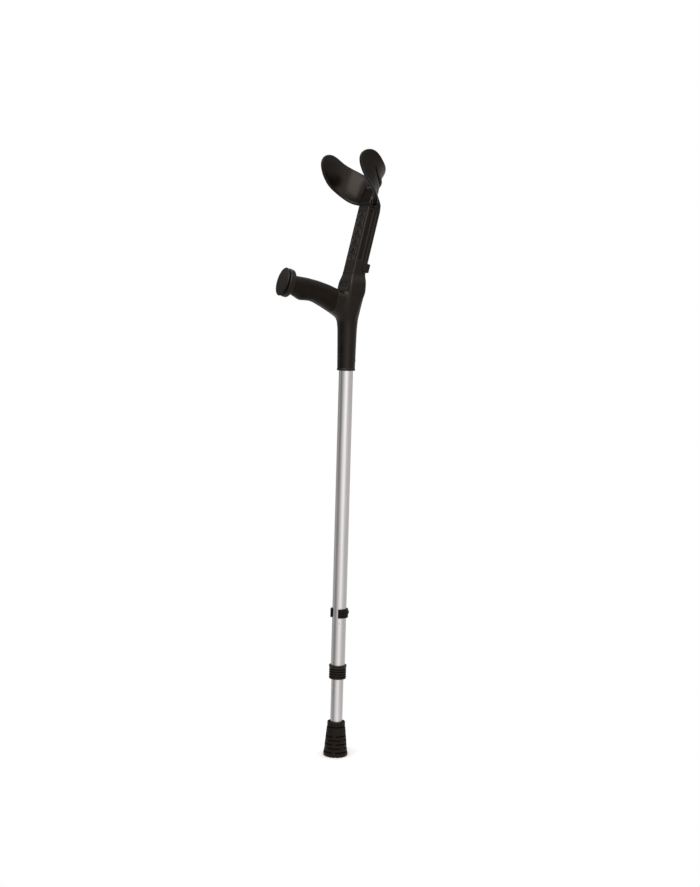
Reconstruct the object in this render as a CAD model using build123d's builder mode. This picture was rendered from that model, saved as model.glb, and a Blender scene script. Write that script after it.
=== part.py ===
"""Forearm crutch with two telescopic adjustments, one STEP file per piece.

Millimetres. Z runs up the shaft, from the centre of the ferrule's tread.
The handle points to -Y, the cuff opens to -Y, and X = 0 is the plane of symmetry.
"""

import math
import os

from build123d import *

# Shaft
TUBE_R = 11.0
TUBE_BORE_R = 9.6
TUBE_BOTTOM_Z = 133.0
TUBE_TOP_Z = 696.0
LEG_R = 9.5
LEG_BORE_R = 8.3
LEG_BOTTOM_Z = 9.0
LEG_TOP_Z = 502.0
STEP_PITCH = 20.0
STEP_COUNT = 12
LOCK_Z = 228.0
LOCK_PIN_R = 2.5
LOCK_HOLE_R = 2.8
GUIDE_R = 9.55
GUIDE_HEAD = 12.0
GUIDE_SPIGOT = 16.0
GUIDE_WALL = 1.6
FIT = 0.05
# cuts start this far inside a tube's wall and run this far outward
CUT_START = 2.0
CUT_RUN = 6.0

# Ferrule
FERRULE_TOP_Z = 54.5
FERRULE_PROFILE = [
    (17.8, 0.0),
    (19.0, 1.2),
    (19.4, 3.2),
    (19.1, 6.0),
    (18.5, 7.4),
    (18.2, 10.5),
    (17.7, 13.8),
    (17.2, 20.2),
    (16.7, 26.5),
    (15.9, 33.0),
    (14.5, 46.4),
    (14.2, 48.0),
    (13.8, 53.6),
    (13.2, 54.5),
]
FERRULE_BORE_R = 9.45
RIB_GROOVES = [7.4, 13.8, 20.2, 26.5, 32.8]
RIB_GROOVE_R = 1.1
RIB_RADII = [18.6, 17.9, 17.4, 16.9, 16.1]
NECK_GROOVE_Z = 47.0
NECK_GROOVE_RADIUS = 14.7
TREAD_RADII = [6.0, 10.0, 14.0]
TREAD_GROOVE = 1.6
TREAD_DEPTH = 2.0
WASHER_R = 9.2
WASHER_BOTTOM_Z = 7.4
WASHER_THICKNESS = 1.5
RIB_GROOVE_OUTSET = 0.2

# Anti-rattle collar and split bush
COLLAR_BOTTOM_Z = 123.4
COLLAR_TOP_Z = 145.2
COLLAR_R = 13.5
COLLAR_RIM_R = 13.9
COLLAR_RIM = 2.2
COLLAR_BORE_R = 12.0
COLLAR_LIP = 1.6
COLLAR_RIBS = 4
COLLAR_RIB_PITCH = 3.9
COLLAR_RIB_GROOVE = 1.3
COLLAR_RIB_DEPTH = 0.35
COLLAR_RIB_START = 3.4
COLLAR_CHAMFER = 0.8
COLLAR_RIM_CHAMFER = 0.5
COLLAR_SEAT = 6.0
BUSH_SLEEVE_R = 11.65
BUSH_SLEEVE_TOP_Z = 144.0
BUSH_BOTTOM_Z = 125.4
BUSH_TIP_R = 10.7
BUSH_SLOTS = 6
BUSH_SLOT = 1.2
BUSH_SLOT_LENGTH = 5.0
BUSH_SLOT_MIDDLE = 11.0
BUSH_BAND = 2.0
RUNNING = 0.1
CLEAR = 0.35

# Height clip
CLIP_HEIGHT = 14.0
CLIP_R = 14.0
CLIP_BORE_R = TUBE_R + 0.08
CLIP_GAP_FROM = -14.0
CLIP_GAP_TO = 46.0
CLIP_RIDGES = 3
CLIP_RIDGE_PITCH = 3.6
CLIP_RIDGE = 1.2
CLIP_RIDGE_DEPTH = 0.5
CLIP_BOSS_R = 4.2
CLIP_BOSS_REACH = 16.4
CLIP_BOSS_ROUND = 1.0
CLIP_BOSS_SKIN = 1.0
LOCK_PIN_TIP = 6.6
LOCK_PIN_CHAMFER = 0.6

# Handle: sleeve, junction and grip
SLEEVE_BOTTOM_Z = 608.0
GRIP_TILT = 16.0
GRIP_Z0 = 707.0
GRIP_COVER_END = 111.0
GRIP_SKIN = 3.8
# along the grip axis: (distance, top, bottom, width)
GRIP_SECTIONS = [
    (12.0, 19.0, -22.4, 30.0),
    (31.0, 18.8, -18.3, 31.0),
    (48.0, 19.5, -15.1, 31.5),
    (65.0, 19.2, -13.3, 31.0),
    (77.0, 18.2, -15.3, 30.5),
    (87.0, 17.2, -17.6, 30.0),
    (97.0, 15.6, -16.0, 28.5),
    (111.0, 13.4, -13.8, 27.0),
]
GRIP_CORNER = 13.0

# End disc of the grip
DISC_WIDTH = 35.0
DISC_HEIGHT = 46.0
DISC_FLANGE = 10.5
FLANGE_HEIGHT = 43.5
DISC_GROOVE = 1.8
DISC_CAP = 3.8
DISC_DROP = 0.5
DISC_INSET = 3.0
DISC_ROUND = 1.7
FLANGE_ROUND = 3.0
SPIGOT_R = 7.0
SPIGOT = 18.0
SPIGOT_ROOM = 2.0

# horizontal sections from the sleeve's mouth up to the strut: (z, width, front, back, corner)
JUNCTION = [
    (608.0, 27.4, -13.7, 13.7, 13.6),
    (630.0, 28.2, -14.1, 14.1, 14.0),
    (652.0, 29.1, -14.55, 14.55, 14.4),
    (670.0, 30.0, -15.0, 15.0, 14.8),
    (686.0, 31.8, -16.5, 16.0, 15.0),
    (702.0, 33.6, -18.0, 18.8, 14.0),
    (718.0, 35.0, -13.8, 20.8, 10.0),
    (731.0, 37.4, -10.2, 21.6, 4.6),
    (741.0, 36.8, -7.7, 21.9, 3.8),
    (750.0, 33.2, -5.0, 22.3, 3.2),
    (757.0, 29.2, -2.5, 22.8, 2.5),
]

# Strut, leaning back
STRUT_LEAN = 14.5
STRUT_TOP_Y = 36.0
STRUT_TOP_Z = 858.0
STRUT_WIDTH = 29.0
STRUT_TOP_DEPTH = 23.4
STRUT_LOW_DEPTH = 23.6
STRUT_LOW = -120.0
STRUT_CORNER = 2.0
SLOT_WIDTH = 19.0
SLOT_DEPTH = 9.6
SLOT_BOTTOM = -154.0
# side grooves: (centre from the axis, width), cut into both sides
SIDE_GROOVES = [(-5.0, 7.0), (3.2, 2.8)]
SIDE_GROOVE_DEPTH = 2.0
SIDE_GROOVE_TOP = -4.0
SIDE_GROOVE_BOTTOM = -84.0
FRONT_PANEL_WIDTH = 19.0
FRONT_PANEL_DEPTH = 0.7
FRONT_PANEL_TOP = -7.0
FRONT_PANEL_BOTTOM = -84.0
FRONT_PANEL_CORNER = 3.0
FRONT_PANEL_CUT = 2.0
REAR_POCKETS = 5
REAR_POCKET_PITCH = 15.0
REAR_POCKET_HEIGHT = 12.0
REAR_POCKET_WIDTH = 19.0
REAR_POCKET_DEPTH = 1.8
REAR_POCKET_TOP = -12.0
REAR_POCKET_CORNER = 2.0
REAR_POCKET_CUT = 4.0

# Cuff stem and its lock
STEM_WIDTH = 18.0
STEM_DEPTH = 8.6
STEM_BOTTOM = -150.0
STEM_TOP = 4.0
STEM_CORNER = 1.5
CUFF_LOCK = -92.0
CUFF_PITCH = 8.0
CUFF_STEPS = 6
CUFF_PIN_R = 2.0
CUFF_HOLE_R = 2.35
CUFF_CLIP_HEIGHT = 13.5
CUFF_CLIP_PLATE = 3.4
CUFF_CLIP_LEG = 8.5
CUFF_CLIP_LEG_THICKNESS = 1.6
CUFF_CLIP_GAP = 0.35
CUFF_CLIP_CORNER = 1.6
CUFF_CLIP_INNER_CORNER = 1.0
CUFF_CLIP_SKIN = 1.0
CUFF_PIN_DEPTH = 16.0

# Badge
BADGE_WIDTH = 25.0
BADGE_HEIGHT = 15.0
BADGE_THICKNESS = 1.6
BADGE_RECESS = 1.0
BADGE_CORNER = 1.5
BADGE_Y = -8.6
BADGE_Z = 737.3
BADGE_LEAN = 15.4

# Cuff band
CUFF_BACK_Y = 36.8
CUFF_BACK_Z = 877.9
CUFF_R = 51.4
CUFF_STRAIGHT = 18.2
CUFF_RISE = 35.9
CUFF_RISE_POWER = 0.8
CUFF_LEAN = 15.5
CUFF_HALF_BACK = 27.6
CUFF_HALF_SIDE = 25.8
CUFF_LOWEST = -15.8
CUFF_LIFT = 3.0
CUFF_LOWEST_BLEND = 4.0
CUFF_TIP = 22.0
CUFF_TIP_STATIONS = [0.8, 3.5, 8.5, 15.0, 22.0]
CUFF_SIDE_STATIONS = [35.0, 48.0, 62.0, 78.0]
CUFF_THICKNESS = 3.8
CUFF_FLARE = 2.6
CUFF_BACK_FLARE = 0.9
CUFF_FLARE_HALF = 18.5
CUFF_HEIGHTS = [-0.92, -0.6, -0.2, 0.2, 0.6, 0.92]
NECK_SECTIONS = [
    (0.1, 29.0, -11.7, 11.3, 2.2),
    (7.5, 28.2, -11.7, 10.4, 2.5),
    (13.5, 26.6, -10.8, 7.6, 2.5),
    (19.5, 24.4, -9.0, 3.6, 2.5),
    (30.0, 20.0, -6.6, -1.8, 2.0),
]

# Sleeve rivets
RIVET_R = 2.4
RIVET_HEAD_R = 4.2
RIVET_HEAD = 1.6
RIVET_SEAT = 13.3
RIVET_Z = [624.0, 654.0]
RIVET_INNER = 9.0

LEAN = math.radians(STRUT_LEAN)
STRUT_AXIS = (0.0, math.sin(LEAN), math.cos(LEAN))
TILT = math.radians(GRIP_TILT)
GRIP_AXIS = (0.0, -math.cos(TILT), math.sin(TILT))
BADGE_ANGLE = math.radians(BADGE_LEAN)
BADGE_NORMAL = (0.0, -math.cos(BADGE_ANGLE), math.sin(BADGE_ANGLE))
BADGE_PLANE = Plane(origin=(0, BADGE_Y, BADGE_Z), x_dir=(1, 0, 0), z_dir=BADGE_NORMAL)
CUFF_ANGLE = math.radians(CUFF_LEAN)
CUFF_UP = Vector(0.0, math.sin(CUFF_ANGLE), math.cos(CUFF_ANGLE))
CUFF_FORWARD = Vector(0.0, -math.cos(CUFF_ANGLE), math.sin(CUFF_ANGLE))


def strut_plane(along):
    """Square to the strut, `along` mm above its top. Local x is +X and local y points to the back."""
    y = STRUT_TOP_Y + along * STRUT_AXIS[1]
    z = STRUT_TOP_Z + along * STRUT_AXIS[2]
    return Plane(origin=(0.0, y, z), x_dir=(1, 0, 0), z_dir=STRUT_AXIS)


def grip_plane(along):
    """Square to the grip, `along` mm out from the shaft axis. Local x is +X and local y points up."""
    y = along * GRIP_AXIS[1]
    z = GRIP_Z0 + along * GRIP_AXIS[2]
    return Plane(origin=(0.0, y, z), x_dir=(1, 0, 0), z_dir=GRIP_AXIS)


def back_plane(along, depth):
    """Lies flat against the strut's back, `depth` mm behind its axis. Local z points to the back."""
    base = strut_plane(along)
    origin = base.from_local_coords((0, depth, 0))
    return Plane(origin=origin, x_dir=(-1, 0, 0), z_dir=base.y_dir)


def strut_half_depth(along):
    """From the strut's axis to its front or back face, which taper towards the top."""
    share = along / STRUT_LOW
    return (STRUT_TOP_DEPTH + (STRUT_LOW_DEPTH - STRUT_TOP_DEPTH) * share) / 2


def front_plane(along, sunk):
    """Parallel to the strut's axis, `sunk` mm under its front face. Local z points to the front."""
    base = strut_plane(along)
    taper = math.atan2(STRUT_LOW_DEPTH - STRUT_TOP_DEPTH, -2 * STRUT_LOW)
    origin = base.from_local_coords((0, -strut_half_depth(along) + sunk, 0))
    normal = base.y_dir * -math.cos(taper) + base.z_dir * math.sin(taper)
    return Plane(origin=origin, x_dir=(1, 0, 0), z_dir=normal)


def grip_section(along, top, bottom, width, skin):
    """One closed outline of the grip, shrunk by `skin` on all sides."""
    with BuildSketch(grip_plane(along)) as section:
        with Locations((0, (top + bottom) / 2)):
            RectangleRounded(width - 2 * skin, top - bottom - 2 * skin, GRIP_CORNER - skin)
    return section.sketch


def ring_profile(points):
    """A closed face in the XZ plane from (radius, z) points, to be revolved about Z."""
    with BuildSketch(Plane.XZ) as profile:
        with BuildLine():
            Polyline(*points, close=True)
        make_face()
    return profile.sketch


def cuff_station(along):
    """Point, outward direction and reach forward of the cuff's path, `along` mm round from its back."""
    quarter = CUFF_R * math.pi / 2
    side = 1.0 if along >= 0 else -1.0
    distance = abs(along)
    angle = min(distance, quarter) / CUFF_R
    past = max(distance - quarter, 0.0)
    forward = CUFF_R * (1 - math.cos(angle)) + past
    across = Vector(side * CUFF_R * math.sin(angle), 0, 0)
    point = Vector(0, CUFF_BACK_Y, CUFF_BACK_Z) + across + CUFF_FORWARD * forward
    outward = Vector(side * math.sin(angle), 0, 0) - CUFF_FORWARD * math.cos(angle)
    return point, outward, forward


def cuff_edges(along, forward):
    """Lower and upper edge of the band. It is level beside the strut and rounded off at the tips."""
    quarter = CUFF_R * math.pi / 2
    share = min(abs(along) / quarter, 1.0)
    blend = share * share * (3 - 2 * share)
    half = CUFF_HALF_BACK + (CUFF_HALF_SIDE - CUFF_HALF_BACK) * blend
    middle = CUFF_RISE * (forward / (CUFF_R + CUFF_STRAIGHT)) ** CUFF_RISE_POWER
    low = middle - half + CUFF_LIFT
    apart = low - CUFF_LOWEST
    low = (low + CUFF_LOWEST + math.hypot(apart, CUFF_LOWEST_BLEND)) / 2
    high = middle + half
    left = quarter + CUFF_STRAIGHT - abs(along)
    if left < CUFF_TIP:
        round_off = math.sqrt(max(1 - (1 - left / CUFF_TIP) ** 2, 0.0))
        middle = (low + high) / 2
        low = middle + (low - middle) * round_off
        high = middle + (high - middle) * round_off
    return low, high


def cuff_flare(along, half, height):
    """How far the band leans outward at `height`, from -1 at its lower edge to 1 at its upper edge."""
    share = min(abs(along) / (CUFF_R * math.pi / 2), 1.0)
    flare = CUFF_FLARE * min(half / CUFF_FLARE_HALF, 1.0) ** 2
    if height < 0:
        flare *= 1 + CUFF_BACK_FLARE * (1 - share)
    return flare * (height**2 + height**4) / 2


def cuff_section(along):
    """A saddle-shaped slice across the band, flared outward at both edges."""
    point, outward, forward = cuff_station(along)
    low, high = cuff_edges(along, forward)
    half = (high - low) / 2
    centre = point + CUFF_UP * ((low + high) / 2)
    plane = Plane(origin=centre, x_dir=outward, z_dir=outward.cross(CUFF_UP))
    edge = CUFF_THICKNESS / 2
    outer = [(cuff_flare(along, half, h) + edge, h * half) for h in CUFF_HEIGHTS]
    inner = [(cuff_flare(along, half, h) - edge, h * half) for h in reversed(CUFF_HEIGHTS)]
    top = [(cuff_flare(along, half, 1), half)]
    bottom = [(cuff_flare(along, half, -1), -half)]
    with BuildSketch(plane) as section:
        with BuildLine():
            Spline(*(bottom + outer + top + inner), periodic=True)
        make_face()
    return section.sketch


def cuff_stations():
    """Distances along the band, close together where the tips round off."""
    length = CUFF_R * math.pi / 2 + CUFF_STRAIGHT
    side = [length - inset for inset in CUFF_TIP_STATIONS + CUFF_SIDE_STATIONS]
    return [-d for d in side] + [0.0] + side[::-1]


def export(builder, name):
    """Label one sub-part and write its STEP file."""
    builder.part.label = name
    export_step(builder.part, f"parts/{name}.step")


os.makedirs("parts", exist_ok=True)

# ---------------------------------------------------------------- lower leg
with BuildPart() as inner_tube:
    with BuildSketch(Plane.XY.offset(LEG_BOTTOM_Z)):
        Circle(LEG_R)
        Circle(LEG_BORE_R, mode=Mode.SUBTRACT)
    extrude(amount=LEG_TOP_Z - LEG_BOTTOM_Z)
    for step in range(STEP_COUNT + 1):
        with BuildSketch(Plane.XZ.offset(-LEG_BORE_R + CUT_START)):
            with Locations((0, LOCK_Z + step * STEP_PITCH)):
                Circle(LOCK_HOLE_R)
        extrude(amount=-CUT_RUN, mode=Mode.SUBTRACT)
export(inner_tube, "inner_tube")

with BuildPart() as tube_guide:
    with BuildSketch(Plane.XY.offset(LEG_TOP_Z)):
        Circle(GUIDE_R)
    extrude(amount=GUIDE_HEAD)
    with BuildSketch(Plane.XY.offset(LEG_TOP_Z)):
        Circle(LEG_BORE_R - FIT)
    extrude(amount=-GUIDE_SPIGOT)
    with BuildSketch(Plane.XY.offset(LEG_TOP_Z - GUIDE_SPIGOT)):
        Circle(LEG_BORE_R - FIT - GUIDE_WALL)
    extrude(amount=GUIDE_SPIGOT + GUIDE_HEAD, mode=Mode.SUBTRACT)
export(tube_guide, "tube_guide")

with BuildPart() as ferrule:
    add(ring_profile([(0, 0)] + FERRULE_PROFILE + [(0, FERRULE_TOP_Z)]))
    revolve(axis=Axis.Z)
    with BuildSketch(Plane.XY.offset(WASHER_BOTTOM_Z)):
        Circle(FERRULE_BORE_R + FIT)
    extrude(amount=FERRULE_TOP_Z, mode=Mode.SUBTRACT)
    for groove_z, radius in zip(RIB_GROOVES, RIB_RADII):
        with BuildSketch(Plane.XZ):
            with Locations((radius + RIB_GROOVE_OUTSET, groove_z)):
                Circle(RIB_GROOVE_R)
        revolve(axis=Axis.Z, mode=Mode.SUBTRACT)
    with BuildSketch(Plane.XZ):
        with Locations((NECK_GROOVE_RADIUS, NECK_GROOVE_Z)):
            Circle(RIB_GROOVE_R)
    revolve(axis=Axis.Z, mode=Mode.SUBTRACT)
    for radius in TREAD_RADII:
        with BuildSketch(Plane.XY):
            Circle(radius + TREAD_GROOVE / 2)
            Circle(radius - TREAD_GROOVE / 2, mode=Mode.SUBTRACT)
        extrude(amount=TREAD_DEPTH, mode=Mode.SUBTRACT)
export(ferrule, "ferrule")

with BuildPart() as ferrule_washer:
    with BuildSketch(Plane.XY.offset(WASHER_BOTTOM_Z)):
        Circle(WASHER_R)
    extrude(amount=WASHER_THICKNESS)
export(ferrule_washer, "ferrule_washer")

# ---------------------------------------------------------------- outer tube, bush and collar
with BuildPart() as outer_tube:
    with BuildSketch(Plane.XY.offset(TUBE_BOTTOM_Z)):
        Circle(TUBE_R)
        Circle(TUBE_BORE_R, mode=Mode.SUBTRACT)
    extrude(amount=TUBE_TOP_Z - TUBE_BOTTOM_Z)
    with BuildSketch(Plane.XZ.offset(-TUBE_BORE_R + CUT_START)):
        with Locations((0, LOCK_Z)):
            Circle(LOCK_HOLE_R)
    extrude(amount=-CUT_RUN, mode=Mode.SUBTRACT)
    for rivet_z in RIVET_Z:
        with BuildSketch(Plane.XZ.offset(-TUBE_BORE_R + CUT_START)):
            with Locations((0, rivet_z)):
                Circle(RIVET_R + FIT)
        extrude(amount=-CUT_RUN, mode=Mode.SUBTRACT)
export(outer_tube, "outer_tube")

with BuildPart() as collar_bush:
    bush_points = [
        (LEG_R + RUNNING, BUSH_BOTTOM_Z),
        (BUSH_TIP_R, BUSH_BOTTOM_Z),
        (BUSH_SLEEVE_R, TUBE_BOTTOM_Z),
        (BUSH_SLEEVE_R, BUSH_SLEEVE_TOP_Z),
        (TUBE_R + FIT, BUSH_SLEEVE_TOP_Z),
        (TUBE_R + FIT, TUBE_BOTTOM_Z - FIT),
        (LEG_R + RUNNING, TUBE_BOTTOM_Z - FIT),
    ]
    add(ring_profile(bush_points))
    revolve(axis=Axis.Z)
    with BuildSketch(Plane.XY.offset(BUSH_BOTTOM_Z)):
        with PolarLocations(BUSH_SLOT_MIDDLE, BUSH_SLOTS):
            Rectangle(BUSH_SLOT_LENGTH, BUSH_SLOT)
    extrude(amount=TUBE_BOTTOM_Z - BUSH_BOTTOM_Z - BUSH_BAND, mode=Mode.SUBTRACT)
export(collar_bush, "collar_bush")

with BuildPart() as anti_rattle_collar:
    collar_points = [
        (LEG_R + CLEAR, COLLAR_BOTTOM_Z),
        (COLLAR_R - COLLAR_CHAMFER, COLLAR_BOTTOM_Z),
        (COLLAR_R, COLLAR_BOTTOM_Z + COLLAR_CHAMFER),
        (COLLAR_R, COLLAR_TOP_Z - COLLAR_RIM),
        (COLLAR_RIM_R, COLLAR_TOP_Z - COLLAR_RIM),
        (COLLAR_RIM_R, COLLAR_TOP_Z - COLLAR_RIM_CHAMFER),
        (COLLAR_RIM_R - COLLAR_RIM_CHAMFER, COLLAR_TOP_Z),
        (COLLAR_BORE_R, COLLAR_TOP_Z),
        (COLLAR_BORE_R, COLLAR_BOTTOM_Z + COLLAR_LIP + COLLAR_SEAT),
        (BUSH_TIP_R + CLEAR, COLLAR_BOTTOM_Z + COLLAR_LIP),
        (LEG_R + CLEAR, COLLAR_BOTTOM_Z + COLLAR_LIP),
    ]
    add(ring_profile(collar_points))
    revolve(axis=Axis.Z)
    for rib in range(COLLAR_RIBS):
        groove_z = COLLAR_BOTTOM_Z + COLLAR_RIB_START + rib * COLLAR_RIB_PITCH
        with BuildSketch(Plane.XY.offset(groove_z)):
            Circle(COLLAR_RIM_R)
            Circle(COLLAR_R - COLLAR_RIB_DEPTH, mode=Mode.SUBTRACT)
        extrude(amount=COLLAR_RIB_GROOVE, mode=Mode.SUBTRACT)
export(anti_rattle_collar, "anti_rattle_collar")

# ---------------------------------------------------------------- height clip
with BuildPart() as height_clip:
    with BuildSketch(Plane.XY.offset(LOCK_Z - CLIP_HEIGHT / 2)):
        Circle(CLIP_R)
    extrude(amount=CLIP_HEIGHT)
    with BuildSketch(Plane.XZ.offset(-CLIP_BORE_R)):
        with Locations((0, LOCK_Z)):
            Circle(CLIP_BOSS_R)
    extrude(amount=-(CLIP_BOSS_REACH - CLIP_BORE_R))
    fillet(height_clip.edges().filter_by(GeomType.CIRCLE).group_by(Axis.Y)[-1], CLIP_BOSS_ROUND)
    with BuildSketch(Plane.XY.offset(LOCK_Z - CLIP_HEIGHT / 2)):
        Circle(CLIP_BORE_R)
    extrude(amount=CLIP_HEIGHT, mode=Mode.SUBTRACT)
    gap_from = math.radians(CLIP_GAP_FROM)
    gap_to = math.radians(CLIP_GAP_TO)
    gap_mid = (gap_from + gap_to) / 2
    reach = 2 * CLIP_R
    with BuildSketch(Plane.XY.offset(LOCK_Z - CLIP_HEIGHT / 2)):
        with BuildLine():
            Polyline(
                (0, 0),
                (reach * math.sin(gap_from), -reach * math.cos(gap_from)),
                (reach * math.sin(gap_mid), -reach * math.cos(gap_mid)),
                (reach * math.sin(gap_to), -reach * math.cos(gap_to)),
                close=True,
            )
        make_face()
    extrude(amount=CLIP_HEIGHT, mode=Mode.SUBTRACT)
    for ridge in range(CLIP_RIDGES):
        groove_z = LOCK_Z + (ridge - (CLIP_RIDGES - 1) / 2) * CLIP_RIDGE_PITCH - CLIP_RIDGE / 2
        with BuildSketch(Plane.XY.offset(groove_z)):
            with BuildLine():
                Polyline(
                    (0, 0),
                    (reach * math.sin(gap_to), -reach * math.cos(gap_to)),
                    (reach, 0),
                    (reach, reach / 2),
                    close=True,
                )
            make_face()
            Circle(CLIP_R - CLIP_RIDGE_DEPTH, mode=Mode.SUBTRACT)
        extrude(amount=CLIP_RIDGE, mode=Mode.SUBTRACT)
    with BuildSketch(Plane.XZ.offset(-CLIP_BORE_R + CLIP_BOSS_SKIN)):
        with Locations((0, LOCK_Z)):
            Circle(LOCK_PIN_R)
    extrude(amount=-(CLIP_BOSS_REACH - CLIP_BORE_R), mode=Mode.SUBTRACT)
export(height_clip, "height_clip")

with BuildPart() as height_clip_pin:
    with BuildSketch(Plane.XZ.offset(-LOCK_PIN_TIP)):
        with Locations((0, LOCK_Z)):
            Circle(LOCK_PIN_R)
    extrude(amount=-(CLIP_BOSS_REACH - CLIP_BOSS_SKIN - LOCK_PIN_TIP))
    chamfer(height_clip_pin.edges().group_by(Axis.Y)[0], LOCK_PIN_CHAMFER)
export(height_clip_pin, "height_clip_pin")

# ---------------------------------------------------------------- handle body
with BuildPart() as handle_body:
    for level, width, front, back, corner in JUNCTION:
        with BuildSketch(Plane.XY.offset(level)):
            with Locations((0, (front + back) / 2)):
                RectangleRounded(width, back - front, corner)
    loft()
    with BuildSketch(strut_plane(STRUT_LOW)):
        RectangleRounded(STRUT_WIDTH, STRUT_LOW_DEPTH, STRUT_CORNER)
    with BuildSketch(strut_plane(0)):
        RectangleRounded(STRUT_WIDTH, STRUT_TOP_DEPTH, STRUT_CORNER)
    loft(ruled=True)
    add(grip_section(*GRIP_SECTIONS[0], 0.0))
    add(grip_section(*GRIP_SECTIONS[1], 0.0))
    loft(ruled=True)
    for station in GRIP_SECTIONS[1:]:
        add(grip_section(*station, GRIP_SKIN))
    loft()
    with BuildSketch(Plane.XY.offset(SLEEVE_BOTTOM_Z)):
        Circle(TUBE_R + FIT)
    extrude(amount=TUBE_TOP_Z + FIT - SLEEVE_BOTTOM_Z, mode=Mode.SUBTRACT)
    with BuildSketch(strut_plane(SLOT_BOTTOM)):
        Rectangle(SLOT_WIDTH, SLOT_DEPTH)
    extrude(amount=-SLOT_BOTTOM, mode=Mode.SUBTRACT)
    with BuildSketch(back_plane(CUFF_LOCK, 0)):
        Circle(CUFF_HOLE_R)
    extrude(amount=STRUT_LOW_DEPTH, mode=Mode.SUBTRACT)
    for rivet_z in RIVET_Z:
        for radius, start in ((RIVET_R + FIT, TUBE_BORE_R), (RIVET_HEAD_R + FIT, RIVET_SEAT)):
            with BuildSketch(Plane.XZ.offset(-start)):
                with Locations((0, rivet_z)):
                    Circle(radius)
            extrude(amount=-STRUT_WIDTH, mode=Mode.SUBTRACT)
    with BuildSketch(grip_plane(GRIP_COVER_END)):
        Circle(SPIGOT_R + FIT)
    extrude(amount=-SPIGOT - SPIGOT_ROOM, mode=Mode.SUBTRACT)
    for centre, groove in SIDE_GROOVES:
        with BuildSketch(strut_plane(SIDE_GROOVE_BOTTOM)):
            with Locations((STRUT_WIDTH / 2, centre), (-STRUT_WIDTH / 2, centre)):
                Rectangle(2 * SIDE_GROOVE_DEPTH, groove)
        extrude(amount=SIDE_GROOVE_TOP - SIDE_GROOVE_BOTTOM, mode=Mode.SUBTRACT)
    panel_middle = (FRONT_PANEL_TOP + FRONT_PANEL_BOTTOM) / 2
    with BuildSketch(front_plane(panel_middle, FRONT_PANEL_DEPTH)):
        RectangleRounded(
            FRONT_PANEL_WIDTH, FRONT_PANEL_TOP - FRONT_PANEL_BOTTOM, FRONT_PANEL_CORNER
        )
    extrude(amount=FRONT_PANEL_CUT, mode=Mode.SUBTRACT)
    for pocket in range(REAR_POCKETS):
        along = REAR_POCKET_TOP - pocket * REAR_POCKET_PITCH
        with BuildSketch(back_plane(along, strut_half_depth(along) - REAR_POCKET_DEPTH)):
            RectangleRounded(REAR_POCKET_WIDTH, REAR_POCKET_HEIGHT, REAR_POCKET_CORNER)
        extrude(amount=REAR_POCKET_CUT, mode=Mode.SUBTRACT)
    with BuildSketch(BADGE_PLANE.offset(-BADGE_RECESS)):
        RectangleRounded(BADGE_WIDTH + 2 * FIT, BADGE_HEIGHT + 2 * FIT, BADGE_CORNER)
    extrude(amount=BADGE_THICKNESS + BADGE_RECESS, mode=Mode.SUBTRACT)
export(handle_body, "handle_body")

# ---------------------------------------------------------------- grip cover and end cap
with BuildPart() as grip_cover:
    for station in GRIP_SECTIONS[1:]:
        add(grip_section(*station, 0.0))
    loft()
    for station in GRIP_SECTIONS[1:]:
        add(grip_section(*station, GRIP_SKIN - FIT))
    loft(mode=Mode.SUBTRACT)
export(grip_cover, "grip_cover")

with BuildPart() as grip_end_cap:
    with BuildSketch(grip_plane(GRIP_COVER_END + FIT)):
        with Locations((0, -DISC_DROP)):
            Ellipse(DISC_WIDTH / 2, FLANGE_HEIGHT / 2)
    extrude(amount=DISC_FLANGE)
    fillet(grip_end_cap.edges(), FLANGE_ROUND)
    with BuildSketch(grip_plane(GRIP_COVER_END + DISC_FLANGE)):
        with Locations((0, -DISC_DROP)):
            Ellipse(DISC_WIDTH / 2 - DISC_INSET, DISC_HEIGHT / 2 - DISC_INSET)
    extrude(amount=DISC_GROOVE)
    with BuildSketch(grip_plane(GRIP_COVER_END + DISC_FLANGE + DISC_GROOVE)):
        with Locations((0, -DISC_DROP)):
            Ellipse(DISC_WIDTH / 2, DISC_HEIGHT / 2)
    extrude(amount=DISC_CAP)
    with BuildSketch(grip_plane(GRIP_COVER_END + DISC_FLANGE)):
        Circle(SPIGOT_R)
    extrude(amount=-SPIGOT - DISC_FLANGE)
    outer_face = grip_end_cap.faces().sort_by(Axis((0, 0, GRIP_Z0), GRIP_AXIS))[-1]
    fillet(outer_face.edges(), DISC_ROUND)
export(grip_end_cap, "grip_end_cap")

# ---------------------------------------------------------------- cuff
with BuildPart() as cuff:
    for distance in cuff_stations():
        add(cuff_section(distance))
    loft()
    for level, width, front, back, corner in NECK_SECTIONS:
        with BuildSketch(strut_plane(level)):
            with Locations((0, (front + back) / 2)):
                RectangleRounded(width, back - front, corner)
    loft()
    with BuildSketch(strut_plane(STEM_BOTTOM)):
        RectangleRounded(STEM_WIDTH, STEM_DEPTH, STEM_CORNER)
    extrude(amount=STEM_TOP - STEM_BOTTOM)
    for step in range(CUFF_STEPS + 1):
        with BuildSketch(back_plane(CUFF_LOCK - step * CUFF_PITCH, -STEM_DEPTH)):
            Circle(CUFF_HOLE_R)
        extrude(amount=2 * STEM_DEPTH, mode=Mode.SUBTRACT)
export(cuff, "cuff")

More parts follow.
